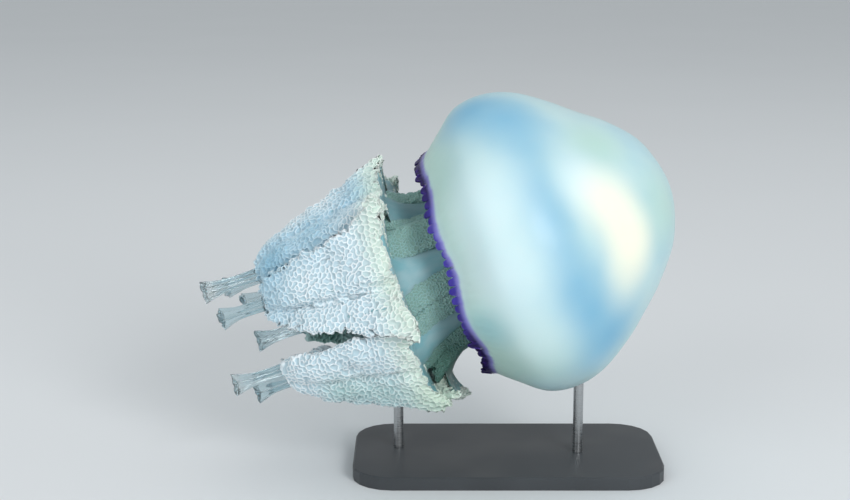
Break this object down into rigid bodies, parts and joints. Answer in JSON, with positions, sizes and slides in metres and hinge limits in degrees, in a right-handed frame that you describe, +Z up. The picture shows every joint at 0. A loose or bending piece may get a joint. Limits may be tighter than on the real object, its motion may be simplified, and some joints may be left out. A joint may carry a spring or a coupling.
{
  "type": "barrel jellyfish",
  "caption": "Barrel jellyfish in swimming pose: thick milky domed bell, violet lappet rim, smooth stalk, frilled mouth arms with clear clubs, held over a flat base by slim rods.",
  "frame": {"origin": "centre of the stand base's underside", "axes": "+Z up; +X along the base's long side, the way the bell's apex points; -Y is the side the animal shows to the viewer"},
  "size_m": [0.4702, 0.3038, 0.3773],
  "materials": {
    "milky_jelly": "wet milky jelly, smooth and glossy",
    "violet_margin": "wet violet pigment",
    "clear_jelly": "wet bluish translucent jelly",
    "white_frill": "soft white frilled tissue, wet",
    "olive_frill": "soft olive-grey frilled tissue, wet",
    "stand_paint": "satin paint",
    "stand_steel": "satin"
  },
  "bodies": {
    "root": {"bell": "milky_jelly", "bell_lappets": "violet_margin", "stalk": "clear_jelly", "upper_arm_1": "clear_jelly", "scapulet_1a": "olive_frill", "scapulet_1b": "olive_frill", "frilled_arm_1": "white_frill", "club_1": "clear_jelly", "upper_arm_2": "clear_jelly", "scapulet_2a": "olive_frill", "scapulet_2b": "olive_frill", "frilled_arm_2": "white_frill", "club_2": "clear_jelly", "upper_arm_3": "clear_jelly", "scapulet_3a": "olive_frill", "scapulet_3b": "olive_frill", "frilled_arm_3": "white_frill", "club_3": "clear_jelly", "upper_arm_4": "clear_jelly", "scapulet_4a": "olive_frill", "scapulet_4b": "olive_frill", "frilled_arm_4": "white_frill", "club_4": "clear_jelly", "upper_arm_5": "clear_jelly", "scapulet_5a": "olive_frill", "scapulet_5b": "olive_frill", "frilled_arm_5": "white_frill", "club_5": "clear_jelly", "upper_arm_6": "clear_jelly", "scapulet_6a": "olive_frill", "scapulet_6b": "olive_frill", "frilled_arm_6": "white_frill", "club_6": "clear_jelly", "upper_arm_7": "clear_jelly", "scapulet_7a": "olive_frill", "scapulet_7b": "olive_frill", "frilled_arm_7": "white_frill", "club_7": "clear_jelly", "upper_arm_8": "clear_jelly", "scapulet_8a": "olive_frill", "scapulet_8b": "olive_frill", "frilled_arm_8": "white_frill", "club_8": "clear_jelly", "stand_base": "stand_paint", "stand_rod_bell": "stand_steel", "stand_rod_arms": "stand_steel"}
  },
  "joints": []
}
